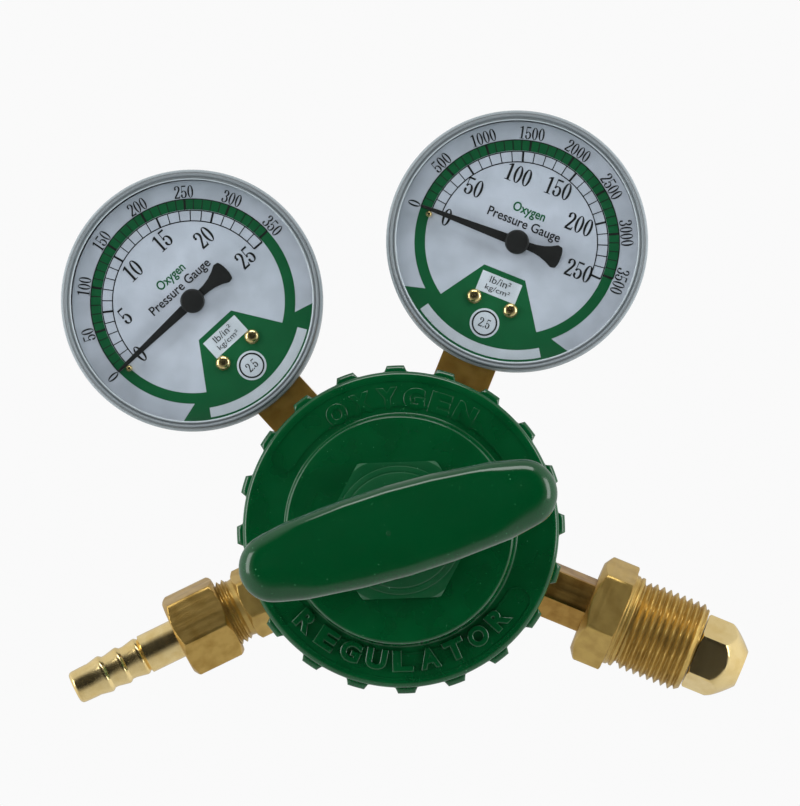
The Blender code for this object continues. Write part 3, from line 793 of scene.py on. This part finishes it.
def build_handle():
    """Adjusting screw, the T-handle on its front end and the cross pin through both."""
    hub_back, bar_front, _ = extent("t_handle", MAIN)
    axes = shifted(MAIN, turn=HANDLE_TILT)
    arcs = [radians(angle) for angle in sweep(0.0, 90.0, 7)]
    crown, depth = 0.25, 4.2
    face = bar_front - crown
    layers = [(1.0, 1.5, BAR_BACK)]
    layers += [(1 - sin(a), 0.0, BAR_BACK + depth * (1 - cos(a))) for a in arcs]
    layers += [(1 - cos(a), 0.0, face - depth * (1 - sin(a))) for a in arcs]
    layers += [(1.0, 1.5, face + crown * 0.6), (1.0, 2.5, bar_front)]
    outline = handle_outline()
    shape = layered([drawn_in(outline, *layer) for layer in layers])
    handle = piece("handle_bar", shape, axes, GREEN_HANDLE, "t_handle")
    hub = rounded_rows([(9.4, hub_back), (10.0, hub_back + 0.6), (10.0, 97.2), (11.0, BAR_BACK + 1.2)], 0.5)
    boolean(handle, "UNION", stack(hub, 64), axes)
    boolean(handle, "DIFFERENCE", disc(6.3, hub_back - 1, 104.3), axes)
    gate = rounded_rows([(0.55, bar_front - 0.3), (0.5, bar_front + 0.05), (0.1, bar_front + 0.15)], 0.1)
    piece("handle_gate_mark", stack(gate, 32), shifted(axes, -2.3), GREEN_HANDLE, "t_handle", replaces=False)

    screw_back, screw_front, crest = extent("adjusting_screw", MAIN)
    rows = [(4.2, screw_back), (5.0, screw_back + 0.5)]
    rows += thread_rows(crest, 0.85, SCREW_PITCH, screw_back + 0.5, hub_back + 2, 1.0, 1.0, 8)
    rows += [(crest, hub_back + 2.2), (crest, screw_front)]
    piece("screw_thread", stack(rows, 72), MAIN, STEEL, "adjusting_screw")

    across = axes @ Matrix.Translation((0, 0, 96.5 * MM)) @ Matrix.Rotation(radians(90), 4, "X")
    pin = rounded_rows([(1.1, -9.4), (1.5, -9.0), (1.5, 9.0), (1.1, 9.4)], 0.2)
    piece("cross_pin", stack(pin, 32), across, STEEL, "handle_pin")


# ---- inlet and outlet

BSP_14_PITCH = 25.4 / 14
BSP_19_PITCH = 25.4 / 19
BSP_DEPTH = 0.64


def build_inlet():
    """Inlet stem, captive nut with its thread, and the bull nose."""
    stem_near, stem_far, _ = extent("inlet_stem", INLET)
    stem_hex = rounded_polygon(12.5, 6, -16.0)
    rows = [(6.1, stem_near)] + chamfered(stem_hex, 7.2, 33.8, 78.0, (0.7, 0.5), None) + [
        (4.2, 78.0), (4.2, stem_far)]
    # The stem takes the darker brass whose painted shade stands for its shadow between the nut and the bonnet.
    piece("inlet_stem_bar", stack(rows), INLET, BRASS_SHADED, "inlet_stem")

    near, far, _ = extent("inlet_nut", INLET)
    crest = 11.45
    root = crest - BSP_DEPTH * BSP_14_PITCH - 0.2
    nut_hex = rounded_polygon(24.0, 6, -10.0)
    shoulder = near + 8.6
    collar = shoulder + 2.9
    rows = chamfered(nut_hex, 13.86, near, shoulder, (2.6, 1.7), (0.7, 0.3), 8)
    ring = crest + 0.15
    rows += rounded_rows([(12.0, shoulder), (ring, shoulder + 0.2), (ring, shoulder + 0.95),
                          (ring - 0.35, shoulder + 1.2), (ring - 0.35, shoulder + 1.4),
                          (ring, shoulder + 1.65), (ring, shoulder + 2.3), (root, collar - 0.1),
                          (root, collar + 0.3)], 0.2)
    rows += thread_rows(crest, BSP_DEPTH * BSP_14_PITCH, BSP_14_PITCH, collar + 0.35, far - 0.1, 0.9, 1.6)
    rows += rounded_rows([(9.4, far), (8.3, far), (7.7, far - 0.6), (7.7, near + 0.6), (8.3, near)], 0.2)
    piece("inlet_nut_thread", tube(rows, 144), INLET, BRASS_TURNED, "inlet_nut")

    near, far, _ = extent("inlet_nose", INLET)
    nose_hex = rounded_polygon(16.8, 6, 6.0)
    start, steps = far - 6.4, 16
    rows = chamfered(nose_hex, 9.7, near, start, (0.6, 0.4), None)
    flat_end = 4.65
    for step in range(1, steps + 1):
        share = step / steps
        turned = flat_end + (9.7 - flat_end) * (1 - share ** 1.4)
        rows.append((limited(nose_hex, turned), start + (far - start) * share))
    rows += rounded_rows([(4.3, far), (2.4, far), (2.0, far - 0.4), (2.0, far - 2.2), (3.6, far - 2.2),
                          (3.6, far - 6.5), (4.5, far - 6.5), (4.5, near)], 0.15)
    piece("inlet_bull_nose", tube(rows, 144), INLET, BRASS_BRIGHT, "inlet_nose")


def build_outlet():
    """Outlet adapter, union nut and the ridged hose tail."""
    near, far, _ = extent("outlet_adapter", OUTLET)
    crest = 8.3
    depth = BSP_DEPTH * BSP_19_PITCH
    adapter_hex = rounded_polygon(16.0, 6, 7.0)
    rows = [(6.1, near)] + chamfered(adapter_hex, 9.24, 33.8, 43.4, (0.8, 0.5), (1.3, 0.9), 6)
    rows += [(7.5, 43.5), (crest - depth - 0.1, 44.6)]
    rows += thread_rows(crest, depth, BSP_19_PITCH, 44.7, far - 0.1, 0.8, 1.0)
    rows += [(5.0, far), (2.5, far - 1.2), (2.5, near)]
    piece("outlet_adapter_thread", tube(rows, 120), OUTLET, BRASS_TURNED, "outlet_adapter")

    near, far, _ = extent("union_nut", OUTLET)
    nut_hex = rounded_polygon(19.3, 6, 18.0)
    rows = chamfered(nut_hex, 11.14, near, far, (1.5, 1.0), (1.9, 1.2), 8)
    rows += rounded_rows([(6.0, far), (5.2, far - 0.5), (5.2, 58.6), (8.6, 58.6), (8.6, near + 0.7),
                          (9.1, near)], 0.2)
    piece("union_nut_hex", tube(rows, 144), OUTLET, BRASS, "union_nut")

    near, far, _ = extent("hose_barb", OUTLET)
    rows = rounded_rows([(5.2, near), (6.6, near + 1.2), (6.6, near + 2.5), (4.9, near + 2.5),
                         (4.9, far - 19.4)], 0.2)
    for ridge in (18.0, 13.0, 8.2):
        crest_at = far - ridge
        rows += rounded_rows([(4.2, crest_at - 1.1), (4.78, crest_at - 0.35), (4.78, crest_at + 0.15),
                              (4.22, crest_at + 2.9)], 0.25)
    rows += rounded_rows([(4.25, far - 4.5), (4.15, far - 1.0), (4.05, far - 0.5), (3.5, far), (3.0, far),
                          (2.7, far - 0.4), (2.7, near)], 0.25)
    piece("hose_tail_ridged", tube(rows), OUTLET, BRASS_BRIGHT, "hose_barb")


# ---- gauges

ZERO_ANGLE = 181.0
SCALE_SWEEP = 180.0
PSI_PER_UNIT = 14.2233
DIAL_FRONT = 7.7
INK = 0.03
GREEN_RING = (22.6, 25.2)
TICK_RING = (19.8, 22.4)
OUTER_END = 350.0
OUTER_DIVISIONS = 35
INNER_UNITS = 25
MAJOR_STEP = 5
NUMBER_SPOTS = ((-18.3, -0.7), (-14.8, 8.6), (-5.7, 15.6), (4.6, 16.1), (12.6, 9.8), (16.7, -0.8))
SIZE_MARK = (0.0, -21.4)


def scale_angle(share):
    """Dial angle at a share of the outer scale."""
    return ZERO_ANGLE - SCALE_SWEEP * share


def dial_black(outer_step, inner_step):
    """Everything printed black: both tick rings, their arcs, the numbers and the words."""
    ink = bmesh.new()
    back, front = DIAL_FRONT + INK, DIAL_FRONT + 2.6 * INK
    unit_share = PSI_PER_UNIT / OUTER_END
    for (near, far), marks, share, width in ((GREEN_RING, OUTER_DIVISIONS, 1 / OUTER_DIVISIONS, 0.55),
                                             (TICK_RING, INNER_UNITS, unit_share, 0.50)):
        for mark in range(marks + 1):
            angle = scale_angle(mark * share)
            spot = polar((near + far) / 2, angle)
            merge(ink, bar(spot, far - near, 0.22 if mark % MAJOR_STEP else width, angle, back, front))
    last = INNER_UNITS * unit_share
    for radius, share in ((TICK_RING[0], last), (TICK_RING[1], last), (GREEN_RING[1], 1.0)):
        merge(ink, ring_sector(radius - 0.13, radius + 0.13, ZERO_ANGLE, scale_angle(share), back, front, 90))
    numbers = OUTER_DIVISIONS // MAJOR_STEP
    for index in range(numbers + 1):
        angle = scale_angle(index / numbers)
        merge(ink, number(str(index * outer_step), 3.1, back, front), placed(*polar(27.0, angle), angle - 90))
    for index, spot in enumerate(NUMBER_SPOTS):
        merge(ink, number(str(index * inner_step), 4.35, back, front), placed(*spot))
    merge(ink, words("Pressure Gauge", 3.1, 19.0, back, front, 0.012), placed(0.0, 4.5))
    back, front = back + INK, front + INK
    merge(ink, words("lb/in²", 1.75, 5.4, back, front), placed(0.0, -10.75))
    merge(ink, words("kg/cm²", 1.75, 6.4, back, front), placed(0.0, -13.0))
    merge(ink, flat_ring(2.75, 3.15, back, front, 64), placed(*SIZE_MARK))
    merge(ink, number("2.5", 2.3, back, front), placed(*SIZE_MARK))
    return ink


def dial_green():
    """Green ring, the filled sector round the foot of the dial and the gas name."""
    ink = bmesh.new()
    back, front = DIAL_FRONT - 0.01, DIAL_FRONT + INK
    ring_in, ring_out = GREEN_RING
    merge(ink, flat_ring(ring_in, ring_out, back, front, 180))
    field = front + 0.3 * INK
    foot = [(5.4, -8.0), (-5.4, -8.0)] + [polar(ring_in + 0.6, a) for a in sweep(236.0, 304.0, 30)]
    merge(ink, prism(foot, back, field))
    edge = [polar(ring_out - 0.6, a) for a in sweep(229.5, 310.5, 30)]
    merge(ink, prism(edge + [polar(29.7, a) for a in sweep(317.0, 223.0, 30)], back, field))
    merge(ink, words("Oxygen", 3.1, 8.4, back, front + INK, 0.02), placed(0.0, 7.9))
    return ink


def dial_white_patches():
    """White strip round the foot, the unit plate and the size mark's disc."""
    ink = bmesh.new()
    back, front = DIAL_FRONT + 0.5 * INK, DIAL_FRONT + 1.5 * INK
    merge(ink, ring_sector(26.5, 28.9, 270 - 33.6, 270 + 33.6, back, front))
    merge(ink, prism([(-5.2, -14.4), (5.2, -14.4), (5.2, -9.35), (-5.2, -9.35)], back, front))
    merge(ink, disc(3.65, back, front, SIZE_MARK, 64))
    return ink


def pointer_outline():
    """Blade along +x with a waisted, flared tail."""
    upper = [(25.3, 0.28), (22.0, 0.5), (3.0, 1.15), (0.0, 1.3)]
    flare = [(-3.0 - 6.8 * share, 1.0 + 1.9 * share ** 2.2) for share in (0.0, 0.25, 0.5, 0.75, 1.0)]
    tail = [(-10.7 - 0.75 * cos(radians(a)), 2.75 * sin(radians(a)))
            for a in (75, 60, 40, 20)]
    half = upper + flare + tail
    return half + [(-11.45, 0.0)] + [(x, -y) for x, y in reversed(half)]


def build_gauge(prefix, axes, outer_step, inner_step):
    """Case, lens, printed dial, screws, stop pin, pointer and socket of one gauge."""
    def cad(name):
        return f"{prefix}_{name}"

    back, front, case_radius = extent(cad("gauge_case"), axes)
    wall = case_radius - 0.6
    outer = rounded_rows([(6.0, back), (case_radius - 0.2, back), (case_radius, front - 0.1),
                          (case_radius - 0.15, front)], 1.8, 6)
    inner = rounded_rows([(wall, front), (wall, back + 0.9), (6.0, back + 0.9)], 1.4, 5)
    rows = outer + inner[:-1] + [(1.0, back + 0.9)]
    case = piece(cad("case_shell"), stack(rows, 128), axes, CASE_BLACK, cad("gauge_case"))
    hole = axes @ Matrix.Rotation(radians(90), 4, "X")
    boolean(case, "DIFFERENCE", prism([(-7.3, -7.3), (7.3, -7.3), (7.3, 7.3), (-7.3, 7.3)], 27, 33), hole)

    lens_near, lens_front, lens_radius = extent(cad("gauge_lens"), axes)
    rim = rounded_rows([
        (31.5, lens_near), (lens_radius, lens_near), (lens_radius, 15.0), (31.75, 15.9), (31.6, 16.0),
        (31.2, 16.9), (30.75, lens_front), (30.5, 16.6), (30.35, 16.55), (30.1, 16.75), (29.8, 16.4),
        (29.6, 16.35), (29.6, 15.55), (30.2, 15.2), (31.2, 14.0), (31.5, 12.5)], 0.25)
    piece(cad("lens_rim"), tube(rim, 160), axes, CLEAR_RIM, cad("gauge_lens"))
    window = [(29.55, 15.6), (29.55, 16.3), (29.3, 16.42), (20.0, 16.5), (8.0, 16.54), (1.0, 16.55)]
    piece(cad("lens_window"), stack(window, 128), axes, CLEAR, cad("gauge_lens"), replaces=False)

    dial_back, dial_front, dial_radius = extent(cad("dial"), axes)
    plate = [(dial_radius, dial_back), (dial_radius, dial_front - 0.1), (dial_radius - 0.1, dial_front),
             (1.6, dial_front), (1.6, dial_back)]
    piece(cad("dial_plate"), tube(plate, 144), axes, DIAL_WHITE, cad("dial"))
    for colour, ink, material in (("green", dial_green(), INK_GREEN),
                                  ("white", dial_white_patches(), INK_WHITE),
                                  ("black", dial_black(outer_step, inner_step), INK_BLACK)):
        piece(cad(f"dial_print_{colour}"), ink, axes, material, cad("dial"), replaces=False)
    for side, offset in (("left", -4.8), ("right", 4.8)):
        dome = [(1.88, 7.9)] + [(1.88 * cos(radians(a)), 7.95 + sin(radians(a)))
                                for a in range(0, 85, 12)]
        piece(cad(f"screw_dome_{side}"), stack(dome, 32), shifted(axes, offset, -16.25), BRASS_BRIGHT,
              cad(f"dial_screw_{side}"))
    stop = polar(22.7, ZERO_ANGLE + 3.2)
    pin = rounded_rows([(0.8, DIAL_FRONT), (0.8, 10.6), (0.4, 11.0), (0.1, 11.0)])
    piece(cad("stop_peg"), stack(pin, 24), shifted(axes, *stop), BRASS_BRIGHT, cad("stop_pin"))

    blade = piece(cad("pointer_blade"), prism(pointer_outline(), 9.5, 10.1),
                  shifted(axes, turn=ZERO_ANGLE), POINTER_BLACK, cad("pointer"))
    bevel(blade, 0.12)
    hub = rounded_rows([(1.2, 9.2), (3.0, 9.2), (3.0, 11.6), (2.7, 12.0), (0.2, 12.0)])
    piece(cad("pointer_hub"), stack(hub, 64), axes, POINTER_BLACK, cad("pointer"), replaces=False)

    port = gauge_port(axes)
    _, socket_top, _ = extent(cad("gauge_socket"), port)
    square = rounded_polygon(13.8, 4, 0.0, 160.0)
    rows = [(6.6, 23.0), (6.6, 33.9)] + chamfered(square, 9.6, 33.9, socket_top, (2.6, 1.4), None, 7)
    piece(cad("socket_bar"), stack(rows), port, BRASS_SOCKET, cad("gauge_socket"))


# ---- stage

CAMERA_DISTANCE = 1.8
VIEW_HEIGHT = 0.199
VIEW_CENTRE = (-0.0005, 0.0311)
CAMERA_SPOT = (0.020, 0.0086)
FLOOR_DROP = 0.08
FLOOR_RADIUS = 0.6
BACKDROP = 0.955
ROOM_GLOW = 0.34
SIDE_GLOW = 0.45
BACK_GLOW = 0.18
HEIGHT_GLOW = 0.18
FRONT_SHARE = 0.02
DARK_DIRECTION = (0.0, -0.95, 0.31)


def build_world():
    """Studio that is dark ahead of the object, brighter at its sides and white as a backdrop."""
    nodes = Nodes("studio", "World")
    across, away, up = nodes.wired("SeparateXYZ", nodes.local)
    sides = nodes.calc("MULTIPLY", nodes.calc("POWER", nodes.calc("ABSOLUTE", across), 2.0), SIDE_GLOW)
    behind = nodes.calc("MULTIPLY", nodes.calc("MAXIMUM", away, 0.0), BACK_GLOW)
    above = nodes.calc("MULTIPLY", nodes.calc("ABSOLUTE", up), HEIGHT_GLOW)
    around = nodes.calc("ADD", nodes.calc("ADD", sides, behind), nodes.calc("ADD", above, ROOM_GLOW))
    facing_dark = nodes.vector("DOT_PRODUCT", nodes.local, DARK_DIRECTION)["Value"]
    ahead = nodes.ramp(facing_dark, 0.50, 0.86, 1.0, FRONT_SHARE)
    strength = nodes.calc("MULTIPLY", around, ahead)
    camera = nodes.add("LightPath").outputs["Is Camera Ray"]
    seen = nodes.calc("ADD", nodes.calc("MULTIPLY", camera, BACKDROP),
                      nodes.calc("MULTIPLY", nodes.calc("SUBTRACT", 1.0, camera), strength))
    bpy.context.scene.world = nodes.finish(nodes.fed("Background", Color=(1.0, 1.0, 1.0), Strength=seen))


def softbox(name, place, target, size, power, glossy=True):
    """Soft area light; one that isn't glossy lights paint and print but stays out of reflections."""
    light = bpy.data.lights.new(name, "AREA")
    light.shape = "RECTANGLE"
    light.size, light.size_y = size
    light.energy = power
    made = linked(name, light)
    made.location = place
    made.rotation_euler = (Vector(target) - Vector(place)).to_track_quat("-Z", "Y").to_euler()
    made.visible_glossy = glossy


def build_stage():
    """Pale floor that fades out into the white room, soft lights and the camera."""
    nodes = Nodes("floor_pale")
    distance = nodes.vector("LENGTH", nodes.local)["Value"]
    fade = nodes.ramp(distance, FLOOR_RADIUS * 0.35, FLOOR_RADIUS * 0.98, 0.0, 1.0)
    paper = nodes.principled(Base_Color=(0.86, 0.86, 0.86), Roughness=0.8)
    mixed = nodes.mixed(fade, paper, nodes.transparent((1.0, 1.0, 1.0)))
    shape = bmesh.new()
    bmesh.ops.create_circle(shape, cap_ends=True, segments=96, radius=FLOOR_RADIUS)
    mesh = bpy.data.meshes.new("floor")
    shape.to_mesh(mesh)
    shape.free()
    mesh.materials.append(nodes.finish(mixed))
    floor = linked("floor", mesh)
    floor.location = (0.0, 0.0, CAD_BOX[0].z - FLOOR_DROP)
    floor.visible_glossy = False

    focus = (0.0, -0.03, 0.02)
    softbox("front_fill", (-0.2, -1.5, 0.3), focus, (0.7, 0.7), 8.6, glossy=False)
    for side in (-1, 1):
        softbox(f"side_wash_{side + 2}", (1.4 * side, -0.15, 0.35), focus, (1.2, 1.2), 22.0, glossy=False)
    softbox("left_box", (-1.3, -0.75, 0.25), focus, (0.5, 1.1), 6.5)
    softbox("right_box", (1.3, -0.70, 0.30), focus, (0.5, 1.1), 6.5)
    softbox("top_box", (0.0, -0.60, 1.25), focus, (1.1, 0.45), 7.0)

    camera_data = bpy.data.cameras.new("camera")
    camera_data.sensor_width = 36.0
    camera_data.lens = camera_data.sensor_width * CAMERA_DISTANCE / VIEW_HEIGHT
    camera_data.clip_end = CAMERA_DISTANCE * 4
    camera = linked("camera", camera_data)
    port_plane = JOINTS["inlet_nut_spin"]["pos_m"][1]
    target = Vector((VIEW_CENTRE[0], port_plane, VIEW_CENTRE[1]))
    camera.location = (CAMERA_SPOT[0], port_plane - CAMERA_DISTANCE, CAMERA_SPOT[1])
    camera.rotation_euler = (target - camera.location).to_track_quat("-Z", "Y").to_euler()
    bpy.context.scene.camera = camera
    bpy.context.scene.view_settings.view_transform = "Standard"


def build_coil(node, wire, turns):
    """Coil spring of a wire radius with closed ends."""
    back, front, outer = extent(node, MAIN)
    mean, steps = outer - wire, 40
    outlines = []
    for step in range(int(turns * steps) + 1):
        turned = step / steps
        rise = min(max(turned - 0.75, 0.0), turns - 1.5) / (turns - 1.5)
        height = back + wire + (front - back - 2 * wire) * rise
        outward = polar(1.0, 360 * turned)
        section = [polar(wire, angle) for angle in even_angles(14)]
        outlines.append([(*(outward * (mean + x)), height + y) for x, y in section])
    spring = piece(f"{node}_coil", layered(outlines), MAIN, SPRING_STEEL, node)
    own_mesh(spring)


def build_diaphragm():
    """Rubber diaphragm with its clamped rim; it isn't attached to any body."""
    back, front, edge = extent("diaphragm", MAIN)
    rim, crown = back + 1.15, front + 0.25
    centre = rim + 0.1
    rows = rounded_rows([(17.0, centre), (22.0, back), (edge, back), (edge, rim), (22.5, rim),
                         (17.5, crown), (1.0, crown)], 0.1)
    sheet = piece("diaphragm_sheet", stack([(1.0, centre)] + rows), MAIN, RUBBER, "diaphragm", rides=False)
    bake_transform(sheet)


def finish_hidden_nodes():
    """Give every CAD node that still shows a procedural finish from its own slot."""
    for name, node in NODES.items():
        if not node.hide_render:
            node.data.materials.clear()
            node.data.materials.append(HIDDEN_FINISH[SLOTS[name]])


build_body()
build_bonnet()
build_handle()
build_inlet()
build_outlet()
build_gauge("low", LOW, 50, 5)
build_gauge("high", HIGH, 500, 50)
build_coil("range_spring", 1.6, 6.0)
build_coil("valve_spring", 0.45, 7.0)
build_diaphragm()
finish_hidden_nodes()
build_world()
build_stage()
